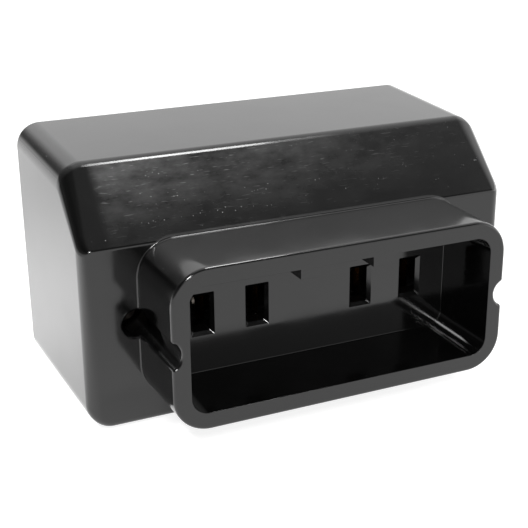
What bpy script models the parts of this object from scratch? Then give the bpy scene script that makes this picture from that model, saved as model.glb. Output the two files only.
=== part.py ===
"""Surface-mounted industrial wall socket for a four-pole flat-pin plug.

A one-piece phenolic cover, with a long shroud round the four contact windows, is held by two
deep-set screws to a base that carries the contacts, the terminals and the cable clamp.
Metres, +X to the right, +Y into the wall, +Z up. The origin lies on the wall plane, behind
the middle of the contact row.
"""

from math import cos, pi, radians, sin, tan

import bmesh
import bpy
from mathutils import Matrix, Vector

MM = 0.001

# Clearances and mesh fineness
FIT_GAP = 0.3 * MM
CUT_OVERRUN = 2.0 * MM
EMBED = 1.5 * MM
CORNER_STEPS = 6
FILLET_STEPS = 5
SMALLEST_STEP = 0.02 * MM
ROUND_STEPS = 24
SHARP_ANGLE = radians(30.0)

# Contact windows in the shroud's floor
POLE_PITCH = 14.25 * MM
WINDOW_WIDTH = 6.2 * MM
WINDOW_HEIGHT = 10.9 * MM
WINDOW_BEVEL = 0.85 * MM
WINDOW_CORNER = 0.3 * MM

# Shroud: the collar that the plug enters, measured from the outer windows
WINDOW_LAND = 10.6 * MM
SHROUD_LENGTH = 21.1 * MM
SHROUD_HALF_HEIGHT = 19.5 * MM
SHROUD_WALL = 4.2 * MM
SHROUD_DRAFT = 0.3 * MM
SHROUD_OUTER_RADIUS = 8.8 * MM
SHROUD_INNER_RADIUS = 4.2 * MM
SHROUD_DEPTH = 19.6 * MM
SHROUD_FLOOR_DRAFT = 0.4 * MM
RIM_EDGE_RADIUS = 0.8 * MM
ROOT_FILLET = 0.5 * MM
FLOOR_FILLET = 0.5 * MM
SHROUD_HALF_WIDTH = 2 * POLE_PITCH + WINDOW_LAND + SHROUD_WALL

# Cover: the housing round the shroud, with its lands, drafts and edge radii
COVER_DEPTH = 51.4 * MM
SIDE_LAND = 13.6 * MM
SIDE_DRAFT = 0.6 * MM
BOTTOM_LAND = 6.3 * MM
BOTTOM_DRAFT = 1.0 * MM
CREASE_DROP = 0.35 * MM
SLOPE_RISE = 16.85 * MM
SLOPE_RUN = 14.5 * MM
TOP_DRAFT = 1.7 * MM
COVER_WALL = 3.2 * MM
CORNER_RADIUS = 6.0 * MM
SLOPE_FOOT_RADIUS = 3.0 * MM
FRONT_SIDE_RADIUS = 3.2 * MM
BROW_RADIUS = 3.2 * MM
CREASE_RADIUS = 1.4 * MM
TOE_RADIUS = 1.8 * MM
INSIDE_RADIUS = 0.8 * MM
FRONT_HALF_WIDTH = SHROUD_HALF_WIDTH + SIDE_LAND
WALL_HALF_WIDTH = FRONT_HALF_WIDTH + SIDE_DRAFT
FRONT_BOTTOM = SHROUD_HALF_HEIGHT + BOTTOM_LAND
WALL_BOTTOM = FRONT_BOTTOM + BOTTOM_DRAFT
CREASE_HEIGHT = SHROUD_HALF_HEIGHT - CREASE_DROP
BROW_HEIGHT = CREASE_HEIGHT + SLOPE_RISE
BROW_DEPTH = COVER_DEPTH - SLOPE_RUN
WALL_TOP = BROW_HEIGHT + TOP_DRAFT

# Guide ribs under the shroud's upper wall
GUIDE_RIB_INNER_X = 6.6 * MM
GUIDE_RIB_WIDTH = 5.5 * MM
GUIDE_RIB_DROP = 2.5 * MM
GUIDE_RIB_SETBACK = 0.25 * MM

# Cover screws in their wells beside the shroud
WELL_RADIUS = 3.3 * MM
WELL_OFFSET = 1.0 * MM
WELL_EDGE_ROUNDING = 0.7 * MM
WELL_DEPTH = 12.0 * MM
WELL_POST_WALL = 1.9 * MM
WELL_WEB = 2.4 * MM
WELL_WEB_DEPTH = 20.0 * MM
COVER_SCREW_RADIUS = 1.75 * MM
COVER_SCREW_HEAD_GAP = 0.4 * MM
COVER_SCREW_HEAD_HEIGHT = 2.4 * MM
COVER_SCREW_SLOT = 0.9 * MM
WELL_POST_RADIUS = WELL_RADIUS + WELL_POST_WALL
COVER_SCREW_HEAD_RADIUS = WELL_RADIUS - COVER_SCREW_HEAD_GAP

# Cable entry in the cover's lower wall
ENTRY_WIDTH = 16.0 * MM
ENTRY_DEPTH = 14.0 * MM

# Base: plate, pedestal, posts and barriers
BASE_PLATE = 4.0 * MM
BASE_CLEARANCE = 0.5 * MM
BASE_CORNER = 2.6 * MM
PEDESTAL_HEIGHT = 22.0 * MM
PEDESTAL_TOP_LAND = 3.8 * MM
PEDESTAL_BOTTOM_LAND = 2.5 * MM
PEDESTAL_EDGE = 0.8 * MM
BARRIER = 1.6 * MM
BARRIER_HEIGHT = 9.0 * MM
BARRIER_SETBACK = 2.6 * MM
CORE_RIB = 7.45 * MM
CORE_FLOOR = 4.0 * MM
CORE_WALL = 2.6 * MM
WALL_HOLE_RADIUS = 2.4 * MM
WALL_HOLE_HEAD_RADIUS = 4.4 * MM
UPPER_WALL_HOLE_SIDE = 7.8 * MM
UPPER_WALL_HOLE_DROP = 10.0 * MM
LOWER_WALL_HOLE_SIDE = 22.8 * MM
LOWER_WALL_HOLE_RISE = 5.7 * MM
PLATE_HALF_WIDTH = WALL_HALF_WIDTH - COVER_WALL - BASE_CLEARANCE
PLATE_TOP = WALL_TOP - COVER_WALL - BASE_CLEARANCE
PLATE_BOTTOM = WALL_BOTTOM - COVER_WALL - BASE_CLEARANCE

# Threaded inserts for the cover screws
INSERT_WALL = 1.05 * MM
INSERT_LENGTH = 9.0 * MM
INSERT_GROOVE = 0.4 * MM
INSERT_GROOVE_WIDTH = 1.6 * MM
INSERT_RADIUS = COVER_SCREW_RADIUS + FIT_GAP + INSERT_WALL

# Contacts: a brass fork on a terminal strip, gripped by a spring band
FORK_LEAF = 0.9 * MM
FORK_HEIGHT = 9.0 * MM
FORK_HALF_GAP = 2.3 * MM
FORK_PINCH_HALF_GAP = 1.9 * MM
FORK_MOUTH_HALF_GAP = 3.2 * MM
FORK_FLARE_LENGTH = 2.6 * MM
FORK_PINCH_LENGTH = 3.6 * MM
FORK_MOUTH_SETBACK = 1.0 * MM
FORK_BEND_RADIUS = 1.1 * MM
STRIP = 1.4 * MM
STRIP_WIDTH = 8.4 * MM
STRIP_END_MARGIN = 2.0 * MM
BAND = 0.6 * MM
BAND_LENGTH = 6.0 * MM
BAND_SETBACK = 7.4 * MM
BAND_SLIT = 2.0 * MM
BAND_CORNER = 1.0 * MM

# Screws of the contacts and terminals
FIXING_LAND = 1.6 * MM
FIXING_SCREW_RADIUS = 1.4 * MM
FIXING_SCREW_HEAD_RADIUS = 2.6 * MM
FIXING_SCREW_HEAD_HEIGHT = 1.8 * MM
FIXING_SCREW_SLOT = 0.7 * MM
FIXING_SCREW_LENGTH = 9.0 * MM
TERMINAL_LAND = 2.0 * MM
TERMINAL_SCREW_RADIUS = 1.95 * MM
TERMINAL_SCREW_HEAD_RADIUS = 3.5 * MM
TERMINAL_SCREW_HEAD_HEIGHT = 2.6 * MM
TERMINAL_SCREW_SLOT = 1.0 * MM
TERMINAL_SCREW_LENGTH = 9.5 * MM
WASHER = 1.2 * MM
WASHER_WIDTH = 8.0 * MM
WASHER_CORNER = 0.8 * MM
FIXING_Z = FORK_HEIGHT / 2 + FIT_GAP + BAND + FIXING_LAND + FIXING_SCREW_HEAD_RADIUS
TERMINAL_Z = FIXING_Z + FIXING_SCREW_HEAD_RADIUS + TERMINAL_LAND + WASHER_WIDTH / 2
STRIP_BOTTOM = FORK_HEIGHT / 2 + STRIP_END_MARGIN
PEDESTAL_TOP = TERMINAL_Z + WASHER_WIDTH / 2 + PEDESTAL_TOP_LAND
PEDESTAL_BOTTOM = STRIP_BOTTOM + PEDESTAL_BOTTOM_LAND

# Cable clamp, over the cable entry
CLAMP_STRAP = 1.6 * MM
CLAMP_WIDTH = 6.5 * MM
CLAMP_SHOULDER = 0.8 * MM
CLAMP_SCREW_REACH = 4.8 * MM
CLAMP_EDGE_MARGIN = 3.9 * MM
CLAMP_ARCH_HEIGHT = 7.0 * MM
CLAMP_EAR = 4.2 * MM
CLAMP_BOSS_RADIUS = 3.4 * MM
CLAMP_BOSS_HEIGHT = 3.4 * MM
CLAMP_SCREW_RADIUS = 1.75 * MM
CLAMP_SCREW_HEAD_RADIUS = 3.0 * MM
CLAMP_SCREW_HEAD_HEIGHT = 2.2 * MM
CLAMP_SCREW_SLOT = 0.8 * MM
CLAMP_ARCH_HALF_WIDTH = ENTRY_WIDTH / 2 - CLAMP_SHOULDER
CLAMP_SCREW_X = CLAMP_ARCH_HALF_WIDTH + CLAMP_SCREW_REACH
CLAMP_Z = PLATE_BOTTOM - CLAMP_EDGE_MARGIN

# Places that follow from the sizes above
RIM_Y = -(COVER_DEPTH + SHROUD_LENGTH)
FLOOR_Y = RIM_Y + SHROUD_DEPTH
FRONT_INSIDE_Y = -(COVER_DEPTH - COVER_WALL)
WELL_X = SHROUD_HALF_WIDTH + WELL_OFFSET
WELL_SEAT_Y = -COVER_DEPTH + WELL_DEPTH
POLE_X = [-2 * POLE_PITCH, -POLE_PITCH, POLE_PITCH, 2 * POLE_PITCH]
STRIP_BACK_Y = -PEDESTAL_HEIGHT - FIT_GAP
STRIP_FRONT_Y = STRIP_BACK_Y - STRIP
FORK_MOUTH_Y = FRONT_INSIDE_Y + FORK_MOUTH_SETBACK


def new_collection(name):
    """Add a collection to the scene."""
    collection = bpy.data.collections.new(name)
    bpy.context.scene.collection.children.link(collection)
    return collection


def material(name, colour, roughness, metallic=0.0):
    """A Principled material with one colour, roughness and metallic value."""
    made = bpy.data.materials.new(name)
    made.use_nodes = True
    shader = made.node_tree.nodes["Principled BSDF"]
    shader.inputs["Base Color"].default_value = (*colour, 1.0)
    shader.inputs["Roughness"].default_value = roughness
    shader.inputs["Metallic"].default_value = metallic
    return made


def object_from(bm, name, collection):
    """Turn a bmesh into an object of the given collection."""
    bmesh.ops.recalc_face_normals(bm, faces=bm.faces)
    mesh = bpy.data.meshes.new(name)
    bm.to_mesh(mesh)
    bm.free()
    made = bpy.data.objects.new(name, mesh)
    collection.objects.link(made)
    return made


def box(name, low, high, collection, edge=0.0):
    """A box between two corners, with its edges broken if edge is given."""
    bm = bmesh.new()
    centre = (Vector(low) + Vector(high)) / 2
    size = Vector(high) - Vector(low)
    place = Matrix.Translation(centre) @ Matrix.Diagonal((*size, 1.0))
    bmesh.ops.create_cube(bm, size=1.0, matrix=place)
    if edge:
        bmesh.ops.bevel(bm, geom=bm.edges[:], offset=edge, segments=1, affect="EDGES")
    return object_from(bm, name, collection)


def rod(name, radius, x, z, y_front, y_back, collection):
    """A round rod along Y."""
    bm = bmesh.new()
    middle = Vector((x, (y_front + y_back) / 2, z))
    place = Matrix.Translation(middle) @ Matrix.Rotation(pi / 2, 4, "X")
    bmesh.ops.create_cone(bm, cap_ends=True, segments=ROUND_STEPS, radius1=radius, radius2=radius,
                          depth=y_back - y_front, matrix=place)
    return object_from(bm, name, collection)


def rounded_ring(half_width, half_height, radius, y, x=0.0, z=0.0):
    """The points of a rounded rectangle that stands at the depth y."""
    points = []
    for side, level, start in ((1, 1, 0.0), (-1, 1, 0.5), (-1, -1, 1.0), (1, -1, 1.5)):
        corner_x = x + side * (half_width - radius)
        corner_z = z + level * (half_height - radius)
        for step in range(CORNER_STEPS + 1):
            angle = pi * (start + 0.5 * step / CORNER_STEPS)
            points.append((corner_x + radius * cos(angle), y, corner_z + radius * sin(angle)))
    return points


def loft(name, rings, collection):
    """A closed solid through rings that have as many points each."""
    bm = bmesh.new()
    loops = [[bm.verts.new(point) for point in ring] for ring in rings]
    for near, far in zip(loops, loops[1:]):
        for index, vert in enumerate(near):
            bm.faces.new((near[index - 1], vert, far[index], far[index - 1]))
    bm.faces.new(loops[0])
    bm.faces.new(loops[-1])
    return object_from(bm, name, collection)


def turned(name, profile, collection):
    """A solid turned round Z from (radius, height) points that run from top to bottom."""
    mesh = bpy.data.meshes.new(name)
    points = [(radius, 0.0, height) for radius, height in profile]
    mesh.from_pydata(points, [(i, i + 1) for i in range(len(points) - 1)], [])
    made = bpy.data.objects.new(name, mesh)
    collection.objects.link(made)
    spin = made.modifiers.new("turned", "SCREW")
    spin.steps = ROUND_STEPS
    spin.render_steps = ROUND_STEPS
    spin.use_merge_vertices = True
    spin.merge_threshold = 0.00001
    return made


def strip_shell(name, path, z_low, z_high, thickness, bend, collection):
    """Sheet metal: a path in X and Y, drawn out along Z, bent round and given its thickness."""
    bm = bmesh.new()
    verts = [bm.verts.new((x, y, z_low)) for x, y in path]
    edges = [bm.edges.new(pair) for pair in zip(verts, verts[1:])]
    drawn = bmesh.ops.extrude_edge_only(bm, edges=edges)
    lifted = [item for item in drawn["geom"] if isinstance(item, bmesh.types.BMVert)]
    bmesh.ops.translate(bm, verts=lifted, vec=(0.0, 0.0, z_high - z_low))
    made = object_from(bm, name, collection)
    rounding = made.modifiers.new("bends", "BEVEL")
    rounding.width = bend
    rounding.segments = 3
    rounding.limit_method = "ANGLE"
    rounding.angle_limit = radians(12.0)
    sheet = made.modifiers.new("sheet", "SOLIDIFY")
    sheet.thickness = thickness
    sheet.offset = 0.0
    sheet.use_even_offset = True
    return made


def as_cutter(made):
    """Mark an object as one that only shapes others."""
    made.hide_render = True
    made.display_type = "WIRE"
    return made


def combine(target, operation, others, name):
    """Join the other objects to the target, or cut them from it, in one Boolean."""
    group = bpy.data.collections.new(name)
    cutters.children.link(group)
    for other in others:
        for holder in list(other.users_collection):
            holder.objects.unlink(other)
        group.objects.link(as_cutter(other))
    step = target.modifiers.new(name, "BOOLEAN")
    step.operation = operation
    step.solver = "EXACT"
    step.operand_type = "COLLECTION"
    step.collection = group
    return target


def bake(made):
    """Replace an object's mesh with what its modifiers make of it."""
    bpy.context.view_layer.update()
    evaluated = made.evaluated_get(bpy.context.evaluated_depsgraph_get())
    mesh = bpy.data.meshes.new_from_object(evaluated)
    made.modifiers.clear()
    made.data = mesh
    return made


def finish(made, surface):
    """Give a piece its material and smooth shading between its edges."""
    made.data.materials.clear()
    made.data.materials.append(surface)
    made.data.shade_smooth()
    made.data.set_sharp_from_angle(angle=SHARP_ANGLE)
    return made


def place_copy(pattern, name, location):
    """A further piece that shares the pattern's mesh."""
    made = bpy.data.objects.new(name, pattern.data)
    made.rotation_euler = pattern.rotation_euler
    made.location = location
    pieces.objects.link(made)
    return made


def moved_in(points, inset):
    """An outline of (depth, distance) points with each of its edges moved inwards."""
    directions = [(far - near).normalized() for near, far in zip(points, points[1:])]
    moved = []
    for corner, into, out in zip(points[1:], directions, directions[1:]):
        moved.append(corner + (out - into).normalized() * inset / cos(into.angle(out) / 2))
    start = moved[0] + points[0] - points[1]
    end = moved[-1] + points[-1] - points[-2]
    return [start] + moved + [end]


def rounded_path(points, radii, inset):
    """An outline moved inwards, with its corners rounded, up to the end of the last fillet."""
    points = moved_in([Vector(point) for point in points], inset)
    path = [points[0]]
    for before, corner, after, radius in zip(points, points[1:], points[2:], radii):
        radius = max(radius - inset, INSIDE_RADIUS)
        into = (corner - before).normalized()
        out = (after - corner).normalized()
        turn = into.angle(out)
        centre = corner + (out - into).normalized() * radius / cos(turn / 2)
        reach = radius * tan(turn / 2)
        start = corner - into * reach - centre
        end = corner + out * reach - centre
        for step in range(FILLET_STEPS + 1):
            share = step / FILLET_STEPS
            arm = start * sin((1 - share) * turn) + end * sin(share * turn)
            path.append(centre + arm / sin(turn))
    return path


def distance_at(path, y):
    """How far from the axis an outline lies at the depth y."""
    for near, far in zip(path, path[1:]):
        if far.x <= y:
            break
    return near.y + (far.y - near.y) * (y - near.x) / (far.x - near.x)


def housing_solid(name, inset, back_y, collection):
    """The housing's form, lofted from the wall to its front through rounded rectangles."""
    top = rounded_path([(0.0, WALL_TOP), (-BROW_DEPTH, BROW_HEIGHT), (-COVER_DEPTH, CREASE_HEIGHT),
                        (-COVER_DEPTH, 0.0)], (BROW_RADIUS, CREASE_RADIUS), inset)
    bottom = rounded_path([(0.0, WALL_BOTTOM), (-COVER_DEPTH, FRONT_BOTTOM), (-COVER_DEPTH, 0.0)],
                          (TOE_RADIUS,), inset)
    side = rounded_path([(0.0, WALL_HALF_WIDTH), (-COVER_DEPTH, FRONT_HALF_WIDTH), (-COVER_DEPTH, 0.0)],
                        (FRONT_SIDE_RADIUS,), inset)
    depths = [back_y]
    for y in sorted((point.x for path in (top, bottom, side) for point in path[1:]), reverse=True):
        if depths[-1] - y > SMALLEST_STEP:
            depths.append(y)
    depths[-1] = inset - COVER_DEPTH
    rings = []
    for y in depths:
        half_width = distance_at(side, y)
        high = distance_at(top, y)
        low = -distance_at(bottom, y)
        drawn_in = inset + distance_at(side[:2], y) - half_width
        slope_share = min(max((-y - BROW_DEPTH) / SLOPE_RUN, 0.0), 1.0)
        corner = CORNER_RADIUS + (SLOPE_FOOT_RADIUS - CORNER_RADIUS) * slope_share
        shape = (half_width, (high - low) / 2)
        place = (y, 0.0, (high + low) / 2)
        upper = rounded_ring(*shape, max(corner - drawn_in, INSIDE_RADIUS), *place)
        lower = rounded_ring(*shape, max(CORNER_RADIUS - drawn_in, INSIDE_RADIUS), *place)
        middle = len(upper) // 2
        rings.append(upper[:middle] + lower[middle:])
    return loft(name, rings, collection)


def shroud_outside():
    """The shroud's outer form, rounded at the rim and flared where it meets the front."""
    rings = []
    for step in range(4):
        angle = pi / 2 * step / 3
        inset = RIM_EDGE_RADIUS * (1 - sin(angle))
        rings.append((-inset, RIM_Y + RIM_EDGE_RADIUS * (1 - cos(angle))))
    for step in range(4):
        angle = pi / 2 * step / 3
        flare = ROOT_FILLET * (1 - cos(angle))
        rings.append((SHROUD_DRAFT + flare, -COVER_DEPTH - ROOT_FILLET * (1 - sin(angle))))
    rings.append((SHROUD_DRAFT + ROOT_FILLET, -COVER_DEPTH + EMBED))
    outline = [rounded_ring(SHROUD_HALF_WIDTH + grow, SHROUD_HALF_HEIGHT + grow,
                            SHROUD_OUTER_RADIUS + grow, y) for grow, y in rings]
    return loft("shroud_outside", outline, cutters)


def shroud_hollow():
    """The room for the plug, a little smaller at its floor and rounded there."""
    half_width = SHROUD_HALF_WIDTH - SHROUD_WALL
    half_height = SHROUD_HALF_HEIGHT - SHROUD_WALL
    rings = [(0.0, RIM_Y - CUT_OVERRUN), (0.0, RIM_Y)]
    for step in range(4):
        angle = pi / 2 * step / 3
        rings.append((SHROUD_FLOOR_DRAFT + FLOOR_FILLET * (1 - cos(angle)),
                      FLOOR_Y - FLOOR_FILLET * (1 - sin(angle))))
    outline = [rounded_ring(half_width - shrink, half_height - shrink, SHROUD_INNER_RADIUS - shrink, y)
               for shrink, y in rings]
    return loft("shroud_hollow", outline, cutters)


def guide_rib(side):
    """One rib under the shroud's upper wall, which keys the plug."""
    inner = side * GUIDE_RIB_INNER_X
    outer = side * (GUIDE_RIB_INNER_X + GUIDE_RIB_WIDTH)
    ceiling = SHROUD_HALF_HEIGHT - SHROUD_WALL
    low = (min(inner, outer), RIM_Y + GUIDE_RIB_SETBACK, ceiling - GUIDE_RIB_DROP)
    high = (max(inner, outer), FLOOR_Y + EMBED, ceiling + EMBED)
    return box("guide_rib", low, high, cutters)


def window_cutter(x):
    """One contact window, bevelled where the pin enters."""
    half_width = WINDOW_WIDTH / 2
    half_height = WINDOW_HEIGHT / 2
    outline = [(0.0, FLOOR_Y - CUT_OVERRUN), (0.0, FLOOR_Y), (WINDOW_BEVEL, FLOOR_Y + WINDOW_BEVEL),
               (WINDOW_BEVEL, FRONT_INSIDE_Y + CUT_OVERRUN)]
    rings = [rounded_ring(half_width - shrink, half_height - shrink, WINDOW_CORNER, y, x)
             for shrink, y in outline]
    return loft("window", rings, cutters)


def well_mouth(x):
    """The rounded edge of a screw well in the front face."""
    profile = [(0.0, CUT_OVERRUN), (WELL_RADIUS + WELL_EDGE_ROUNDING, CUT_OVERRUN)]
    for step in range(4):
        angle = pi / 2 * step / 3
        profile.append((WELL_RADIUS + WELL_EDGE_ROUNDING * (1 - sin(angle)),
                        -WELL_EDGE_ROUNDING * (1 - cos(angle))))
    profile.append((0.0, -WELL_EDGE_ROUNDING))
    mouth = turned("well_mouth", profile, cutters)
    mouth.rotation_euler = (pi / 2, 0.0, 0.0)
    mouth.location = (x, -COVER_DEPTH, 0.0)
    return mouth


def entry_notch():
    """The cable's way in: a slot with a round end in the lower wall, open to the wall."""
    radius = ENTRY_WIDTH / 2
    straight = ENTRY_DEPTH - radius
    bm = bmesh.new()
    low = -WALL_BOTTOM - CUT_OVERRUN
    points = [(radius, CUT_OVERRUN)]
    for step in range(ROUND_STEPS // 2 + 1):
        angle = pi * step / (ROUND_STEPS // 2)
        points.append((radius * cos(angle), -straight - radius * sin(angle)))
    points.append((-radius, CUT_OVERRUN))
    outline = bm.faces.new([bm.verts.new((x, y, low)) for x, y in points])
    drawn = bmesh.ops.extrude_face_region(bm, geom=[outline])
    lifted = [item for item in drawn["geom"] if isinstance(item, bmesh.types.BMVert)]
    bmesh.ops.translate(bm, verts=lifted, vec=(0.0, 0.0, COVER_WALL + 2 * CUT_OVERRUN))
    return object_from(bm, "entry_notch", cutters)


def make_cover():
    """The black phenolic moulding: housing, shroud, windows, guide ribs and screw posts."""
    cover = housing_solid("cover", 0.0, 0.0, pieces)
    combine(cover, "DIFFERENCE", [well_mouth(-WELL_X), well_mouth(WELL_X)], "well_mouths")
    combine(cover, "UNION", [shroud_outside()], "shroud")
    cavity = housing_solid("cavity", COVER_WALL, CUT_OVERRUN, cutters)
    combine(cover, "DIFFERENCE", [cavity], "inside")
    posts = []
    for side in (-1, 1):
        post_x = side * WELL_X
        posts.append(rod("well_post", WELL_POST_RADIUS, post_x, 0.0, FRONT_INSIDE_Y - EMBED,
                         -PEDESTAL_HEIGHT - FIT_GAP, cutters))
        web_inner = side * (WELL_X + WELL_RADIUS + WELL_WEB / 2)
        web_outer = side * (FRONT_HALF_WIDTH - COVER_WALL / 2)
        posts.append(box("well_web", (min(web_inner, web_outer), FRONT_INSIDE_Y - EMBED, -WELL_WEB / 2),
                         (max(web_inner, web_outer), FRONT_INSIDE_Y + WELL_WEB_DEPTH, WELL_WEB / 2),
                         cutters))
    combine(cover, "UNION", posts, "posts")
    combine(cover, "DIFFERENCE", [shroud_hollow()], "plug_room")
    combine(cover, "UNION", [guide_rib(-1), guide_rib(1)], "guide_ribs")
    holes = [window_cutter(x) for x in POLE_X]
    for side in (-1, 1):
        well_x = side * WELL_X
        holes.append(rod("well", WELL_RADIUS, well_x, 0.0, RIM_Y - CUT_OVERRUN, WELL_SEAT_Y, cutters))
        holes.append(rod("well_bore", COVER_SCREW_RADIUS + FIT_GAP, well_x, 0.0, WELL_SEAT_Y - CUT_OVERRUN,
                         -PEDESTAL_HEIGHT + CUT_OVERRUN, cutters))
    holes.append(entry_notch())
    combine(cover, "DIFFERENCE", holes, "openings")
    return finish(cover, phenolic)


def wall_hole(x, z):
    """A hole for a wall screw, sunk for its head."""
    profile = [(0.0, CUT_OVERRUN), (WALL_HOLE_HEAD_RADIUS, CUT_OVERRUN), (WALL_HOLE_HEAD_RADIUS, 0.0)]
    sunk = WALL_HOLE_HEAD_RADIUS - WALL_HOLE_RADIUS
    profile.append((WALL_HOLE_RADIUS, -sunk))
    profile.append((WALL_HOLE_RADIUS, -BASE_PLATE - CUT_OVERRUN))
    profile.append((0.0, -BASE_PLATE - CUT_OVERRUN))
    hole = turned("wall_hole", profile, cutters)
    hole.rotation_euler = (pi / 2, 0.0, 0.0)
    hole.location = (x, -BASE_PLATE, z)
    return hole


def make_base():
    """The phenolic base: a plate with the contact pedestal, barriers, posts and clamp bosses."""
    half_height = (PLATE_TOP + PLATE_BOTTOM) / 2
    middle = (PLATE_TOP - PLATE_BOTTOM) / 2
    shrink = SIDE_DRAFT * BASE_PLATE / COVER_DEPTH
    rings = [rounded_ring(PLATE_HALF_WIDTH - less, half_height - less, BASE_CORNER, y, 0.0, middle)
             for less, y in ((shrink, -BASE_PLATE), (0.0, 0.0))]
    base = loft("base", rings, pieces)
    half_pedestal = 2.5 * POLE_PITCH + BARRIER / 2
    added = [box("pedestal", (-half_pedestal, -PEDESTAL_HEIGHT, -PEDESTAL_BOTTOM),
                 (half_pedestal, -BASE_PLATE + EMBED, PEDESTAL_TOP), cutters, PEDESTAL_EDGE)]
    end_barrier = 2.5 * POLE_PITCH - PEDESTAL_EDGE
    for middle in (-end_barrier, -1.5 * POLE_PITCH, 0.0, 1.5 * POLE_PITCH, end_barrier):
        added.append(box("barrier", (middle - BARRIER / 2, -PEDESTAL_HEIGHT - BARRIER_HEIGHT,
                                     FIXING_Z - BARRIER_SETBACK),
                         (middle + BARRIER / 2, -PEDESTAL_HEIGHT + EMBED, PEDESTAL_TOP - PEDESTAL_EDGE),
                         cutters))
    for side in (-1, 1):
        added.append(rod("post", WELL_POST_RADIUS, side * WELL_X, 0.0, -PEDESTAL_HEIGHT, -BASE_PLATE + EMBED,
                         cutters))
        added.append(rod("clamp_boss", CLAMP_BOSS_RADIUS, side * CLAMP_SCREW_X, -CLAMP_Z,
                         -BASE_PLATE - CLAMP_BOSS_HEIGHT, -BASE_PLATE + EMBED, cutters))
    combine(base, "UNION", added, "standing_parts")
    cuts = []
    half_core = (POLE_PITCH - CORE_RIB) / 2
    for place in (-1.5, -0.5, 0.5, 1.5):
        middle = place * POLE_PITCH
        cuts.append(box("core", (middle - half_core, -PEDESTAL_HEIGHT + CORE_FLOOR,
                                 -PEDESTAL_BOTTOM + CORE_WALL),
                        (middle + half_core, CUT_OVERRUN, PEDESTAL_TOP - CORE_WALL), cutters))
    for x in POLE_X:
        cuts.append(rod("fixing_hole", FIXING_SCREW_RADIUS + FIT_GAP, x, FIXING_Z,
                        -PEDESTAL_HEIGHT - CUT_OVERRUN, STRIP_FRONT_Y + FIXING_SCREW_LENGTH + FIT_GAP,
                        cutters))
        cuts.append(rod("terminal_relief", TERMINAL_SCREW_RADIUS + FIT_GAP, x, TERMINAL_Z,
                        -PEDESTAL_HEIGHT - CUT_OVERRUN,
                        STRIP_FRONT_Y - WASHER + TERMINAL_SCREW_LENGTH + FIT_GAP, cutters))
    for side in (-1, 1):
        cuts.append(rod("insert_pocket", INSERT_RADIUS + FIT_GAP, side * WELL_X, 0.0,
                        -PEDESTAL_HEIGHT - CUT_OVERRUN, -PEDESTAL_HEIGHT + INSERT_LENGTH + 2 * FIT_GAP,
                        cutters))
        cuts.append(rod("clamp_hole", CLAMP_SCREW_RADIUS + FIT_GAP, side * CLAMP_SCREW_X, -CLAMP_Z,
                        -BASE_PLATE - CLAMP_BOSS_HEIGHT - CUT_OVERRUN, -BASE_PLATE / 4, cutters))
        cuts.append(wall_hole(side * (PLATE_HALF_WIDTH - UPPER_WALL_HOLE_SIDE),
                              PLATE_TOP - UPPER_WALL_HOLE_DROP))
        cuts.append(wall_hole(side * (PLATE_HALF_WIDTH - LOWER_WALL_HOLE_SIDE),
                              LOWER_WALL_HOLE_RISE - PLATE_BOTTOM))
    combine(base, "DIFFERENCE", cuts, "holes_and_cores")
    return finish(base, base_phenolic)


def slotted_screw(name, head_radius, head_height, shank_radius, shank_length, slot, surface):
    """A cheese-head screw whose seat is at its origin and whose head points along local +Z."""
    edge = head_height / 8
    tip = shank_radius / 3
    profile = [(0.0, head_height), (head_radius - edge, head_height), (head_radius, head_height - edge),
               (head_radius, 0.0), (shank_radius, 0.0), (shank_radius, tip - shank_length),
               (shank_radius - tip, -shank_length), (0.0, -shank_length)]
    screw = turned(name, profile, pieces)
    slot_box = box("slot", (-head_radius - CUT_OVERRUN, -slot / 2, head_height / 2),
                   (head_radius + CUT_OVERRUN, slot / 2, head_height + CUT_OVERRUN), cutters)
    combine(screw, "DIFFERENCE", [slot_box], name + "_slot")
    bake(screw)
    bpy.data.objects.remove(slot_box)
    screw.rotation_euler = (pi / 2, 0.0, 0.0)
    return finish(screw, surface)


def make_cover_screws():
    """The two long screws that hold the cover, and the brass inserts that they enter."""
    shank = -PEDESTAL_HEIGHT + INSERT_LENGTH - WELL_SEAT_Y - FIT_GAP
    screw = slotted_screw("cover_screw_left", COVER_SCREW_HEAD_RADIUS, COVER_SCREW_HEAD_HEIGHT,
                          COVER_SCREW_RADIUS, shank, COVER_SCREW_SLOT, steel)
    screw.location = (-WELL_X, WELL_SEAT_Y - FIT_GAP, 0.0)
    place_copy(screw, "cover_screw_right", (WELL_X, WELL_SEAT_Y - FIT_GAP, 0.0))
    bore = COVER_SCREW_RADIUS + FIT_GAP
    waist = INSERT_RADIUS - INSERT_GROOVE
    middle = -INSERT_LENGTH / 2
    half_groove = INSERT_GROOVE_WIDTH / 2
    profile = [(bore, 0.0), (INSERT_RADIUS, 0.0), (INSERT_RADIUS, middle + half_groove),
               (waist, middle + half_groove), (waist, middle - half_groove),
               (INSERT_RADIUS, middle - half_groove), (INSERT_RADIUS, -INSERT_LENGTH),
               (bore, -INSERT_LENGTH), (bore, 0.0)]
    insert = finish(bake(turned("insert_left", profile, pieces)), brass)
    insert.rotation_euler = (pi / 2, 0.0, 0.0)
    insert.location = (-WELL_X, -PEDESTAL_HEIGHT + FIT_GAP, 0.0)
    place_copy(insert, "insert_right", (WELL_X, -PEDESTAL_HEIGHT + FIT_GAP, 0.0))


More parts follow.
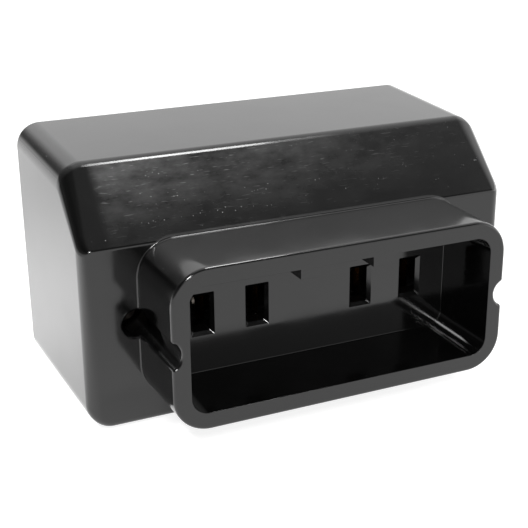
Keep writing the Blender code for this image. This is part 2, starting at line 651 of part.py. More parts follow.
def make_contact():
    """One female contact: a fork of two leaves on the strip that carries the terminal."""
    pinch_y = FORK_MOUTH_Y + FORK_FLARE_LENGTH
    straight_y = pinch_y + FORK_PINCH_LENGTH
    foot_y = STRIP_FRONT_Y + FORK_LEAF / 2
    half_path = [(FORK_MOUTH_HALF_GAP, FORK_MOUTH_Y), (FORK_PINCH_HALF_GAP, pinch_y),
                 (FORK_HALF_GAP, straight_y), (FORK_HALF_GAP, foot_y)]
    path = half_path + [(-x, y) for x, y in reversed(half_path)]
    half_height = FORK_HEIGHT / 2
    contact = strip_shell("contact_1", path, -half_height, half_height, FORK_LEAF, FORK_BEND_RADIUS, pieces)
    strip_top = TERMINAL_Z + TERMINAL_SCREW_HEAD_RADIUS + STRIP_END_MARGIN
    strip = box("strip", (-STRIP_WIDTH / 2, STRIP_FRONT_Y, -STRIP_BOTTOM),
                (STRIP_WIDTH / 2, STRIP_BACK_Y, strip_top), cutters)
    combine(contact, "UNION", [strip], "contact_strip")
    holes = [rod("fixing_clearance", FIXING_SCREW_RADIUS + FIT_GAP, 0.0, FIXING_Z,
                 STRIP_FRONT_Y - CUT_OVERRUN, STRIP_BACK_Y + CUT_OVERRUN, cutters),
             rod("terminal_clearance", TERMINAL_SCREW_RADIUS + FIT_GAP, 0.0, TERMINAL_Z,
                 STRIP_FRONT_Y - CUT_OVERRUN, STRIP_BACK_Y + CUT_OVERRUN, cutters)]
    combine(contact, "DIFFERENCE", holes, "contact_holes")
    bake(contact)
    for tool in [strip] + holes:
        bpy.data.objects.remove(tool)
    return finish(contact, brass)


def make_band():
    """The steel spring band round a fork, open at a slit below."""
    half_width = FORK_HALF_GAP + FORK_LEAF / 2 + FIT_GAP + BAND / 2
    half_height = FORK_HEIGHT / 2 + FIT_GAP + BAND / 2
    half_slit = BAND_SLIT / 2
    path = [(half_slit, half_height), (half_width, half_height), (half_width, -half_height),
            (-half_width, -half_height), (-half_width, half_height), (-half_slit, half_height)]
    band = strip_shell("contact_band_1", path, 0.0, BAND_LENGTH, BAND, BAND_CORNER, pieces)
    bake(band)
    band.rotation_euler = (pi / 2, 0.0, 0.0)
    return finish(band, steel)


def make_washer():
    """The square pressure washer under a terminal screw."""
    half = WASHER_WIDTH / 2
    rings = [rounded_ring(half, half, WASHER_CORNER, y) for y in (-WASHER, 0.0)]
    washer = loft("terminal_washer_1", rings, pieces)
    hole = rod("washer_hole", TERMINAL_SCREW_RADIUS + FIT_GAP, 0.0, 0.0, -WASHER - CUT_OVERRUN, CUT_OVERRUN,
               cutters)
    combine(washer, "DIFFERENCE", [hole], "washer_hole")
    bake(washer)
    bpy.data.objects.remove(hole)
    return finish(washer, brass)


def make_poles():
    """Contact, band, fixing screw, washer and terminal screw of each pole."""
    washer_y = STRIP_FRONT_Y - FIT_GAP
    head_y = washer_y - WASHER - FIT_GAP
    band_y = FORK_MOUTH_Y + BAND_SETBACK + BAND_LENGTH
    fixing = slotted_screw("fixing_screw_1", FIXING_SCREW_HEAD_RADIUS, FIXING_SCREW_HEAD_HEIGHT,
                           FIXING_SCREW_RADIUS, FIXING_SCREW_LENGTH, FIXING_SCREW_SLOT, steel)
    terminal = slotted_screw("terminal_screw_1", TERMINAL_SCREW_HEAD_RADIUS, TERMINAL_SCREW_HEAD_HEIGHT,
                             TERMINAL_SCREW_RADIUS, TERMINAL_SCREW_LENGTH, TERMINAL_SCREW_SLOT, brass)
    patterns = ((make_contact(), "contact", 0.0, 0.0),
                (make_band(), "contact_band", band_y, 0.0),
                (fixing, "fixing_screw", STRIP_FRONT_Y - FIT_GAP, FIXING_Z),
                (make_washer(), "terminal_washer", washer_y, TERMINAL_Z),
                (terminal, "terminal_screw", head_y, TERMINAL_Z))
    for pattern, name, y, z in patterns:
        pattern.location = (POLE_X[0], y, z)
        for number, x in enumerate(POLE_X[1:], start=2):
            place_copy(pattern, f"{name}_{number}", (x, y, z))


def make_clamp():
    """The steel strap that holds the cable to the base, and its two screws."""
    seat_y = -BASE_PLATE - CLAMP_BOSS_HEIGHT
    middle_y = seat_y - FIT_GAP - CLAMP_STRAP / 2
    crown_y = middle_y - CLAMP_ARCH_HEIGHT
    shoulder = CLAMP_ARCH_HALF_WIDTH - CLAMP_STRAP
    half_path = [(CLAMP_SCREW_X + CLAMP_EAR, middle_y), (CLAMP_ARCH_HALF_WIDTH, middle_y),
                 (shoulder, crown_y)]
    path = half_path + [(-x, y) for x, y in reversed(half_path)]
    strap = strip_shell("cable_clamp", path, -CLAMP_Z - CLAMP_WIDTH / 2, -CLAMP_Z + CLAMP_WIDTH / 2,
                        CLAMP_STRAP, CLAMP_STRAP, pieces)
    holes = [rod("strap_hole", CLAMP_SCREW_RADIUS + FIT_GAP, side * CLAMP_SCREW_X, -CLAMP_Z,
                 middle_y - CLAMP_STRAP - CUT_OVERRUN, middle_y + CLAMP_STRAP, cutters) for side in (-1, 1)]
    combine(strap, "DIFFERENCE", holes, "strap_holes")
    finish(strap, steel)
    head_y = middle_y - CLAMP_STRAP / 2 - FIT_GAP
    shank = -head_y - BASE_PLATE / 2
    screw = slotted_screw("clamp_screw_left", CLAMP_SCREW_HEAD_RADIUS, CLAMP_SCREW_HEAD_HEIGHT,
                          CLAMP_SCREW_RADIUS, shank, CLAMP_SCREW_SLOT, steel)
    screw.location = (-CLAMP_SCREW_X, head_y, -CLAMP_Z)
    place_copy(screw, "clamp_screw_right", (CLAMP_SCREW_X, head_y, -CLAMP_Z))


for old in list(bpy.data.objects):
    bpy.data.objects.remove(old)
pieces = new_collection("industrial_wall_socket")
cutters = new_collection("cutters")
phenolic = material("black_phenolic", (0.012, 0.012, 0.012), 0.15)
base_phenolic = material("base_phenolic", (0.020, 0.017, 0.015), 0.45)
brass = material("brass", (0.55, 0.40, 0.16), 0.35, 1.0)
steel = material("zinc_plated_steel", (0.52, 0.52, 0.52), 0.35, 1.0)
make_cover()
make_base()
make_cover_screws()
make_poles()
make_clamp()
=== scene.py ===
from math import atan2, cos, pi, radians, sin, sqrt, tan

import bmesh
import bpy
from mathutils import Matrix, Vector


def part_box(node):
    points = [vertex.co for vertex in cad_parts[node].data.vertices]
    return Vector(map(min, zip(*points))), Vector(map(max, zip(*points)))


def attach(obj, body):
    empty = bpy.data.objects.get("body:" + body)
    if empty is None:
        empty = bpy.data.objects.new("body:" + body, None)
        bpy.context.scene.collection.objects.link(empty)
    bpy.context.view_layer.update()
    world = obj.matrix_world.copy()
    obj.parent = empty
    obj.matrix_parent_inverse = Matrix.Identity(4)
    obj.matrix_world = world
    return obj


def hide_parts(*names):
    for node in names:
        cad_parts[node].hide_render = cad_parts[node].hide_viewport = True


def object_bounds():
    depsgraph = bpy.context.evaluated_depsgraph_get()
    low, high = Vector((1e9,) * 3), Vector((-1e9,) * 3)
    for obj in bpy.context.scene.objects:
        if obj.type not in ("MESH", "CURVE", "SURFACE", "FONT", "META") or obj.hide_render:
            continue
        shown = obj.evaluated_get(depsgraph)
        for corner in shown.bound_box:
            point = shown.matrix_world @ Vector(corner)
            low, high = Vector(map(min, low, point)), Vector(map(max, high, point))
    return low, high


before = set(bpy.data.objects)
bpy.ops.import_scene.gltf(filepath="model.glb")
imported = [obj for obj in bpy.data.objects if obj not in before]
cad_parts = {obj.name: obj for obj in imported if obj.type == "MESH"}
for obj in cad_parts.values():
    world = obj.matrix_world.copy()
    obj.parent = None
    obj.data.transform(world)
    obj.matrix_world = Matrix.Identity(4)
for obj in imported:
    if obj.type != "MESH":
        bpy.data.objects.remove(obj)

cad_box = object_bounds()
MM = 0.001

# Base
# A pressed phenolic plate with its contact pedestal, barriers and posts, seen only from behind
# and through the cable entry. The moulding is dark brown-black with a dull, slightly flecked skin.
FLECK_SIZE = 0.5 * MM
FLECK_HEIGHT = 0.05 * MM
CLOUD_SIZE = 9.0 * MM


def linear(code):
    """Turn an sRGB hex colour into the linear values that a socket takes."""
    shares = [int(code[place:place + 2], 16) / 255 for place in (1, 3, 5)]
    levels = [share / 12.92 if share <= 0.04045 else ((share + 0.055) / 1.055) ** 2.4 for share in shares]
    return (*levels, 1.0)


def add_node(tree, kind, settings, inputs):
    """Add a node, set its properties, and give each input named a value or an output to read."""
    made = tree.nodes.new(kind)
    for name, value in settings.items():
        setattr(made, name, value)
    for name, value in inputs.items():
        if isinstance(value, bpy.types.NodeSocket):
            tree.links.new(value, made.inputs[name])
        else:
            made.inputs[name].default_value = value
    return made


def new_finish(name, roughness, metallic, ior):
    """A material with a Principled shader, and its tree, shader and Object coordinates."""
    made = bpy.data.materials.new(name)
    made.use_nodes = True
    tree = made.node_tree
    shader = tree.nodes["Principled BSDF"]
    shader.inputs["Roughness"].default_value = roughness
    shader.inputs["Metallic"].default_value = metallic
    shader.inputs["IOR"].default_value = ior
    place = add_node(tree, "ShaderNodeTexCoord", {}, {}).outputs["Object"]
    return made, tree, shader, place


def give(material, *names):
    """Put one material on the named pieces of the frame."""
    for name in names:
        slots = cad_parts[name].data.materials
        slots.clear()
        slots.append(material)


# The places of the Mix node's sockets for colours
FIRST_COLOUR = 6
SECOND_COLOUR = 7
MIXED_COLOUR = 2
base_finish, tree, shader, place = new_finish("base_phenolic_moulding",
                                              roughness=0.42, metallic=0.0, ior=1.6)
flecks = add_node(tree, "ShaderNodeTexNoise", {}, {"Vector": place, "Scale": 1 / FLECK_SIZE, "Detail": 3.0})
clouds = add_node(tree, "ShaderNodeTexNoise", {}, {"Vector": place, "Scale": 1 / CLOUD_SIZE, "Detail": 4.0})
tone = add_node(tree, "ShaderNodeMix", {"data_type": "RGBA"}, {
    "Factor": flecks.outputs["Fac"], FIRST_COLOUR: linear("#231d19"), SECOND_COLOUR: linear("#3a312b")})
tree.links.new(tone.outputs[MIXED_COLOUR], shader.inputs["Base Color"])
dullness = add_node(tree, "ShaderNodeMapRange", {}, {
    "Value": clouds.outputs["Fac"], "From Min": 0.3, "From Max": 0.7, "To Min": 0.34, "To Max": 0.52})
tree.links.new(dullness.outputs[0], shader.inputs["Roughness"])
skin = add_node(tree, "ShaderNodeBump", {}, {
    "Height": flecks.outputs["Fac"], "Strength": 0.12, "Distance": FLECK_HEIGHT})
tree.links.new(skin.outputs[0], shader.inputs["Normal"])
give(base_finish, "base")

# Contacts, washers, terminal screws and inserts
# The forks and their strips are pressed from brass sheet, and the screws and inserts are turned.
# The brass is tarnished to a yellowish brown, made darker as painted shade so the contacts behind
# the windows read black, and it shows fine drawing lines.
GRAIN_WIDTH = 0.12 * MM
GRAIN_HEIGHT = 0.02 * MM
GRAIN_STRETCH = (1.0, 0.08, 1.0)
TARNISH_SIZE = 3.0 * MM
brass_finish, tree, shader, place = new_finish("tarnished_and_shaded_brass", roughness=0.25, metallic=1.0, ior=1.5)
stretch = add_node(tree, "ShaderNodeMapping", {}, {"Vector": place, "Scale": GRAIN_STRETCH})
grain = add_node(tree, "ShaderNodeTexNoise", {}, {
    "Vector": stretch.outputs[0], "Scale": 1 / GRAIN_WIDTH, "Detail": 2.0})
tarnish = add_node(tree, "ShaderNodeTexNoise", {}, {
    "Vector": place, "Scale": 1 / TARNISH_SIZE, "Detail": 5.0})
# Painted shade: both tones are kept dark, so the contacts behind the windows read black
tone = add_node(tree, "ShaderNodeMix", {"data_type": "RGBA"}, {
    "Factor": tarnish.outputs["Fac"], FIRST_COLOUR: linear("#7d6238"), SECOND_COLOUR: linear("#43341d")})
tree.links.new(tone.outputs[MIXED_COLOUR], shader.inputs["Base Color"])
dullness = add_node(tree, "ShaderNodeMapRange", {}, {
    "Value": tarnish.outputs["Fac"], "From Min": 0.3, "From Max": 0.7, "To Min": 0.18, "To Max": 0.34})
tree.links.new(dullness.outputs[0], shader.inputs["Roughness"])
lines = add_node(tree, "ShaderNodeBump", {}, {
    "Height": grain.outputs["Fac"], "Strength": 0.1, "Distance": GRAIN_HEIGHT})
tree.links.new(lines.outputs[0], shader.inputs["Normal"])
POLES = (1, 2, 3, 4)
for kind in ("contact", "terminal_washer", "terminal_screw"):
    give(brass_finish, *[f"{kind}_{number}" for number in POLES])
give(brass_finish, "insert_left", "insert_right")

# Spring bands, fixing screws and cable clamp
# The bands and the clamp are bent from steel strip, and the screws hold the contacts and the clamp
# to the base. All have a bright zinc plating, which has gone a little cloudy and grey.
PLATING_CLOUD = 2.5 * MM
steel_finish, tree, shader, place = new_finish("zinc_plated_steel", roughness=0.3, metallic=1.0, ior=1.5)
cloudy = add_node(tree, "ShaderNodeTexNoise", {}, {
    "Vector": place, "Scale": 1 / PLATING_CLOUD, "Detail": 5.0})
tone = add_node(tree, "ShaderNodeMix", {"data_type": "RGBA"}, {
    "Factor": cloudy.outputs["Fac"], FIRST_COLOUR: linear("#c4c6c8"), SECOND_COLOUR: linear("#8e9092")})
tree.links.new(tone.outputs[MIXED_COLOUR], shader.inputs["Base Color"])
dullness = add_node(tree, "ShaderNodeMapRange", {}, {
    "Value": cloudy.outputs["Fac"], "From Min": 0.3, "From Max": 0.7, "To Min": 0.22, "To Max": 0.42})
tree.links.new(dullness.outputs[0], shader.inputs["Roughness"])
for kind in ("contact_band", "fixing_screw"):
    give(steel_finish, *[f"{kind}_{number}" for number in POLES])
give(steel_finish, "cable_clamp", "clamp_screw_left", "clamp_screw_right")

# Cover screws
# Two long turned steel screws, which hold the cover to the inserts in the base.
# They are browned in hot oil, and their dark tone is also painted shade that keeps them dark at
# the bottom of their wells.
BROWNING_SIZE = 1.5 * MM
browned_and_shaded_finish, tree, shader, place = new_finish("browned_and_shaded_steel", roughness=0.4, metallic=1.0, ior=1.5)
browning = add_node(tree, "ShaderNodeTexNoise", {}, {
    "Vector": place, "Scale": 1 / BROWNING_SIZE, "Detail": 4.0})
# Painted shade: both tones are dark, so the screws stay black at the bottom of their wells
tone = add_node(tree, "ShaderNodeMix", {"data_type": "RGBA"}, {
    "Factor": browning.outputs["Fac"], FIRST_COLOUR: linear("#3d3935"), SECOND_COLOUR: linear("#23201e")})
tree.links.new(tone.outputs[MIXED_COLOUR], shader.inputs["Base Color"])
give(browned_and_shaded_finish, "cover_screw_left", "cover_screw_right")

# Cover
# The one-piece moulding of glossy black phenolic: housing, shroud, windows, guide ribs and posts.
# It was pressed hot in a polished steel mould, so its edges are rounded and its sides have draft.
cover_low, cover_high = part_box("cover")
screw_low, screw_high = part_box("cover_screw_right")
first_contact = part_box("contact_3")
outer_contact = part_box("contact_4")
WELL_X = (screw_low.x + screw_high.x) / 2
POLE_PITCH = (outer_contact[0].x + outer_contact[1].x) / 2 - (first_contact[0].x + first_contact[1].x) / 2
RIM_Y = cover_low.y
COVER_DEPTH = 51.4 * MM
WALL_HALF_WIDTH = cover_high.x
SIDE_DRAFT = 0.6 * MM
FRONT_HALF_WIDTH = WALL_HALF_WIDTH - SIDE_DRAFT
WALL_TOP = cover_high.z
TOP_DRAFT = 1.7 * MM
BROW_HEIGHT = WALL_TOP - TOP_DRAFT
BROW_DEPTH = 36.9 * MM
CREASE_HEIGHT = 19.15 * MM
WALL_BOTTOM = -cover_low.z
BOTTOM_DRAFT = 1.0 * MM
FRONT_BOTTOM = WALL_BOTTOM - BOTTOM_DRAFT
COVER_WALL = 3.2 * MM
CORNER_RADIUS = 6.0 * MM
SLOPE_FOOT_RADIUS = 3.0 * MM
FRONT_SIDE_RADIUS = 3.2 * MM
BROW_RADIUS = 3.2 * MM
CREASE_RADIUS = 1.4 * MM
TOE_RADIUS = 1.8 * MM
INSIDE_RADIUS = 0.8 * MM
FILLET_STEPS = 14
CORNER_STEPS = 16
ROUND_STEPS = 96
QUARTER_STEPS = 4
EDGE_STEPS = 4
SMALLEST_STEP = 0.01 * MM
CUT_OVERRUN = 2.0 * MM
EMBED = 1.5 * MM


def only(made):
    """Make one object the selected and active one."""
    bpy.ops.object.select_all(action="DESELECT")
    made.select_set(True)
    bpy.context.view_layer.objects.active = made
    return made


def pick(made, kind, chosen):
    """In edit mode, select the edges or faces for which the test holds."""
    bpy.ops.mesh.select_mode(type=kind)
    bpy.ops.mesh.select_all(action="DESELECT")
    form = bmesh.from_edit_mesh(made.data)
    for item in form.edges if kind == "EDGE" else form.faces:
        item.select_set(chosen(item))
    bmesh.update_edit_mesh(made.data)


def bridged(name, rings):
    """A closed solid through rings of as many points each, joined by bridging."""
    count = len(rings[0])
    edges = []
    for start in range(0, count * len(rings), count):
        edges += [(start + step, start + (step + 1) % count) for step in range(count)]
    mesh = bpy.data.meshes.new(name)
    mesh.from_pydata([point for ring in rings for point in ring], edges, [])
    made = bpy.data.objects.new(name, mesh)
    bpy.context.scene.collection.objects.link(made)
    only(made)
    bpy.ops.object.mode_set(mode="EDIT")
    bpy.ops.mesh.select_mode(type="EDGE")
    bpy.ops.mesh.select_all(action="SELECT")
    bpy.ops.mesh.bridge_edge_loops()
    bpy.ops.mesh.select_all(action="DESELECT")
    bpy.ops.mesh.select_non_manifold()
    bpy.ops.mesh.edge_face_add()
    bpy.ops.mesh.select_all(action="SELECT")
    bpy.ops.mesh.normals_make_consistent(inside=False)
    bpy.ops.object.mode_set(mode="OBJECT")
    return made


def rounded_ring(half_width, half_height, radius, y, x=0.0, z=0.0):
    """The points of a rounded rectangle that stands at the depth y."""
    points = []
    for side, level, start in ((1, 1, 0.0), (-1, 1, 0.5), (-1, -1, 1.0), (1, -1, 1.5)):
        corner_x = x + side * (half_width - radius)
        corner_z = z + level * (half_height - radius)
        for step in range(CORNER_STEPS + 1):
            angle = pi * (start + 0.5 * step / CORNER_STEPS)
            points.append((corner_x + radius * cos(angle), y, corner_z + radius * sin(angle)))
    return points


def moved_in(points, inset):
    """An outline of (depth, distance) points with each of its edges moved inwards."""
    directions = [(far - near).normalized() for near, far in zip(points, points[1:])]
    moved = []
    for corner, into, out in zip(points[1:], directions, directions[1:]):
        moved.append(corner + (out - into).normalized() * inset / cos(into.angle(out) / 2))
    return [moved[0] + points[0] - points[1]] + moved + [moved[-1] + points[-1] - points[-2]]


def rounded_path(points, radii, inset):
    """An outline moved inwards, with its corners rounded, up to the end of the last fillet."""
    points = moved_in([Vector(point) for point in points], inset)
    path = [points[0]]
    for before, corner, after, radius in zip(points, points[1:], points[2:], radii):
        radius = max(radius - inset, INSIDE_RADIUS)
        into = (corner - before).normalized()
        out = (after - corner).normalized()
        turn = into.angle(out)
        centre = corner + (out - into).normalized() * radius / cos(turn / 2)
        reach = radius * tan(turn / 2)
        start = corner - into * reach - centre
        end = corner + out * reach - centre
        for step in range(FILLET_STEPS + 1):
            share = step / FILLET_STEPS
            arm = start * sin((1 - share) * turn) + end * sin(share * turn)
            path.append(centre + arm / sin(turn))
    return path


def distance_at(path, y):
    """How far from the axis an outline lies at the depth y."""
    for near, far in zip(path, path[1:]):
        if far.x <= y:
            break
    return near.y + (far.y - near.y) * (y - near.x) / (far.x - near.x)


def housing_solid(name, inset, back_y):
    """The housing's form, through rounded rectangles from the wall to its front."""
    top = rounded_path([(0.0, WALL_TOP), (-BROW_DEPTH, BROW_HEIGHT), (-COVER_DEPTH, CREASE_HEIGHT),
                        (-COVER_DEPTH, 0.0)], (BROW_RADIUS, CREASE_RADIUS), inset)
    bottom = rounded_path([(0.0, WALL_BOTTOM), (-COVER_DEPTH, FRONT_BOTTOM), (-COVER_DEPTH, 0.0)],
                          (TOE_RADIUS,), inset)
    side = rounded_path([(0.0, WALL_HALF_WIDTH), (-COVER_DEPTH, FRONT_HALF_WIDTH), (-COVER_DEPTH, 0.0)],
                        (FRONT_SIDE_RADIUS,), inset)
    depths = [back_y]
    for y in sorted((point.x for path in (top, bottom, side) for point in path[1:]), reverse=True):
        if depths[-1] - y > SMALLEST_STEP:
            depths.append(y)
    depths[-1] = inset - COVER_DEPTH
    rings = []
    for y in depths:
        half_width = distance_at(side, y)
        high = distance_at(top, y)
        low = -distance_at(bottom, y)
        drawn_in = inset + distance_at(side[:2], y) - half_width
        slope_share = min(max((-y - BROW_DEPTH) / (COVER_DEPTH - BROW_DEPTH), 0.0), 1.0)
        corner = CORNER_RADIUS + (SLOPE_FOOT_RADIUS - CORNER_RADIUS) * slope_share
        shape = (half_width, (high - low) / 2)
        middle = (y, 0.0, (high + low) / 2)
        upper = rounded_ring(*shape, max(corner - drawn_in, INSIDE_RADIUS), *middle)
        lower = rounded_ring(*shape, max(CORNER_RADIUS - drawn_in, INSIDE_RADIUS), *middle)
        rings.append(upper[:len(upper) // 2] + lower[len(upper) // 2:])
    return bridged(name, rings)


def carve(target, operation, *tools):
    """Cut the tools from the target, or join them to it, and remove them."""
    only(tools[0])
    for tool in tools[1:]:
        tool.select_set(True)
    if len(tools) > 1:
        bpy.ops.object.join()
    only(target)
    step = target.modifiers.new("carve", "BOOLEAN")
    step.operation = operation
    step.solver = "EXACT"
    step.object = tools[0]
    bpy.ops.object.modifier_apply(modifier=step.name)
    bpy.data.objects.remove(tools[0])


def rod(name, radius, x, z, front_y, back_y):
    """A round rod along Y, from a cylinder primitive."""
    bpy.ops.mesh.primitive_cylinder_add(vertices=ROUND_STEPS, radius=radius, depth=back_y - front_y,
                                        location=(x, (front_y + back_y) / 2, z), rotation=(pi / 2, 0, 0))
    made = bpy.context.active_object
    made.name = name
    bpy.ops.object.transform_apply(location=True, rotation=True, scale=True)
    return made


def block(name, low, high, edge=0.0):
    """A block between two corners, from a cube primitive, with its edges rounded if edge is given."""
    low, high = Vector(low), Vector(high)
    bpy.ops.mesh.primitive_cube_add(size=1.0, location=(low + high) / 2)
    made = bpy.context.active_object
    made.name = name
    made.scale = high - low
    bpy.ops.object.transform_apply(location=True, rotation=True, scale=True)
    if edge:
        bpy.ops.object.mode_set(mode="EDIT")
        bpy.ops.mesh.select_all(action="SELECT")
        bpy.ops.mesh.bevel(offset=edge, segments=EDGE_STEPS, affect="EDGES")
        bpy.ops.object.mode_set(mode="OBJECT")
    return made


def drawn(name, x, z, steps):
    """A round cutter along Y whose disc is drawn back and resized through (radius, y) steps."""
    radius, first_y = steps[0]
    bpy.ops.mesh.primitive_circle_add(vertices=ROUND_STEPS, radius=radius, fill_type="NGON",
                                      location=(x, first_y, z), rotation=(pi / 2, 0, 0))
    made = bpy.context.active_object
    made.name = name
    bpy.ops.object.transform_apply(location=True, rotation=True, scale=True)
    bpy.ops.object.mode_set(mode="EDIT")
    bpy.ops.mesh.select_mode(type="FACE")
    bpy.ops.mesh.select_all(action="SELECT")
    for (near, y), (far, next_y) in zip(steps, steps[1:]):
        bpy.ops.mesh.extrude_region_move(TRANSFORM_OT_translate={"value": (0, next_y - y, 0)})
        bpy.ops.transform.resize(value=(far / near, 1, far / near), center_override=(x, next_y, z))
    bpy.ops.mesh.select_all(action="SELECT")
    bpy.ops.mesh.normals_make_consistent(inside=False)
    bpy.ops.object.mode_set(mode="OBJECT")
    return made


# The housing, with the rounded mouths of its two screw wells
WELL_RADIUS = 3.3 * MM
WELL_EDGE_ROUNDING = 0.7 * MM
MOUTH_STEPS = 6
FIT_SINK = 0.02 * MM
cover = housing_solid("moulded_cover", 0.0, 0.0)
mouths = []
for side in (-1, 1):
    steps = [(WELL_RADIUS + WELL_EDGE_ROUNDING, -COVER_DEPTH - CUT_OVERRUN),
             (WELL_RADIUS + WELL_EDGE_ROUNDING, -COVER_DEPTH)]
    for step in range(1, MOUTH_STEPS + 1):
        turn = pi / 2 * step / MOUTH_STEPS
        steps.append((WELL_RADIUS + WELL_EDGE_ROUNDING * (1 - sin(turn)),
                      -COVER_DEPTH + WELL_EDGE_ROUNDING * (1 - cos(turn))))
    steps.append((WELL_RADIUS, CUT_OVERRUN + COVER_WALL - COVER_DEPTH))
    mouths.append(drawn("mouth", side * WELL_X, 0.0, steps))
carve(cover, "DIFFERENCE", *mouths)

# The shroud, with the wells' channels in its sides and its rim's edges rounded all round
WELL_OFFSET = 1.0 * MM
SHROUD_HALF_WIDTH = WELL_X - WELL_OFFSET
SHROUD_HALF_HEIGHT = 19.5 * MM
SHROUD_WALL = 4.2 * MM
SHROUD_DRAFT = 0.3 * MM
SHROUD_OUTER_RADIUS = 8.8 * MM
SHROUD_INNER_RADIUS = 4.2 * MM
SHROUD_DEPTH = 19.6 * MM
SHROUD_FLOOR_DRAFT = 0.4 * MM
RIM_EDGE_RADIUS = 0.8 * MM
RIM_INNER_RADIUS = 0.12 * MM
ROOT_FILLET = 0.5 * MM
FLOOR_FILLET = 0.2 * MM
LIP_RADIUS = 1.0 * MM
LIP_OVERLAP = 0.01 * MM
CHANNEL_RADIUS = WELL_RADIUS + FIT_SINK
LIP_STEPS = 8
CHANNEL_STEPS = 24
RIM_STEPS = 6
RIM_INNER_STEPS = 3
RIM_ANGLE = radians(20)
FLOOR_Y = RIM_Y + SHROUD_DEPTH


def channel_ring(side, grow, y):
    """The outline that cuts a channel: the well's circle, with lips that curve out to the shroud's side."""
    face_x = SHROUD_HALF_WIDTH + grow + LIP_OVERLAP
    lip_x = face_x - LIP_RADIUS
    lip_z = sqrt((CHANNEL_RADIUS + LIP_RADIUS) ** 2 - (WELL_X - lip_x) ** 2)
    swing = atan2(lip_z, WELL_X - lip_x)
    upper = [(face_x + CHANNEL_RADIUS, lip_z)]
    for step in range(LIP_STEPS + 1):
        turn = swing * step / LIP_STEPS
        upper.append((lip_x + LIP_RADIUS * cos(turn), lip_z - LIP_RADIUS * sin(turn)))
    bottom = []
    for step in range(1, CHANNEL_STEPS):
        turn = pi - swing + 2 * swing * step / CHANNEL_STEPS
        bottom.append((WELL_X + CHANNEL_RADIUS * cos(turn), CHANNEL_RADIUS * sin(turn)))
    lower = [(x, -z) for x, z in reversed(upper)]
    return [(side * x, y, z) for x, z in upper + bottom + lower]


rings = [(0.0, RIM_Y), (SHROUD_DRAFT, -COVER_DEPTH - ROOT_FILLET)]
for step in range(1, QUARTER_STEPS + 1):
    turn = pi / 2 * step / QUARTER_STEPS
    rings.append((SHROUD_DRAFT + ROOT_FILLET * (1 - cos(turn)),
                  FIT_SINK - COVER_DEPTH - ROOT_FILLET * (1 - sin(turn))))
rings.append((SHROUD_DRAFT + ROOT_FILLET, -COVER_DEPTH + EMBED))
shroud = bridged("shroud", [rounded_ring(SHROUD_HALF_WIDTH + grow, SHROUD_HALF_HEIGHT + grow,
                                         SHROUD_OUTER_RADIUS + grow, y) for grow, y in rings])
channels = [bridged("channel", [channel_ring(side, grow, y) for grow, y in
                                ((0.0, RIM_Y - CUT_OVERRUN), (0.0, RIM_Y), (SHROUD_DRAFT, -COVER_DEPTH),
                                 (SHROUD_DRAFT, -COVER_DEPTH + EMBED + CUT_OVERRUN))]) for side in (-1, 1)]
carve(shroud, "DIFFERENCE", *channels)
rings = [(0.0, RIM_Y - CUT_OVERRUN), (0.0, RIM_Y)]
for step in range(QUARTER_STEPS + 1):
    turn = pi / 2 * step / QUARTER_STEPS
    rings.append((SHROUD_FLOOR_DRAFT + FLOOR_FILLET * (1 - cos(turn)),
                  FLOOR_Y - FLOOR_FILLET * (1 - sin(turn))))
hollow_half_width = SHROUD_HALF_WIDTH - SHROUD_WALL
hollow_half_height = SHROUD_HALF_HEIGHT - SHROUD_WALL
hollow = bridged("hollow", [rounded_ring(hollow_half_width - shrink, hollow_half_height - shrink,
                                         SHROUD_INNER_RADIUS - shrink, y) for shrink, y in rings])
carve(shroud, "DIFFERENCE", hollow)


def on_rim(edge, inner):
    """Whether an edge bounds the rim's flat face, on its inner or its outer side."""
    if any(abs(vert.co.y - RIM_Y) > SMALLEST_STEP for vert in edge.verts) or not edge.is_manifold:
        return False
    inside = all(abs(vert.co.x) < hollow_half_width + RIM_INNER_RADIUS
                 and abs(vert.co.z) < hollow_half_height + RIM_INNER_RADIUS for vert in edge.verts)
    return edge.calc_face_angle() > RIM_ANGLE and inside == inner


only(shroud)
bpy.ops.object.mode_set(mode="EDIT")
straight_x = SHROUD_HALF_WIDTH - SHROUD_OUTER_RADIUS - EMBED
straight_z = SHROUD_HALF_HEIGHT - SHROUD_OUTER_RADIUS - EMBED
for reach, direction in ((-straight_x, (1, 0, 0)), (0.0, (1, 0, 0)), (straight_x, (1, 0, 0)),
                         (-straight_z, (0, 0, 1)), (straight_z, (0, 0, 1))):
    bpy.ops.mesh.select_all(action="SELECT")
    bpy.ops.mesh.bisect(plane_co=[reach * share for share in direction], plane_no=direction)
for inner, radius, steps in ((False, RIM_EDGE_RADIUS, RIM_STEPS),
                             (True, RIM_INNER_RADIUS, RIM_INNER_STEPS)):
    pick(shroud, "EDGE", lambda edge: on_rim(edge, inner))
    bpy.ops.mesh.bevel(offset=radius, segments=steps, affect="EDGES", clamp_overlap=False)
bpy.ops.mesh.select_all(action="SELECT")
bpy.ops.mesh.quads_convert_to_tris()
bpy.ops.object.mode_set(mode="OBJECT")
carve(cover, "UNION", shroud)

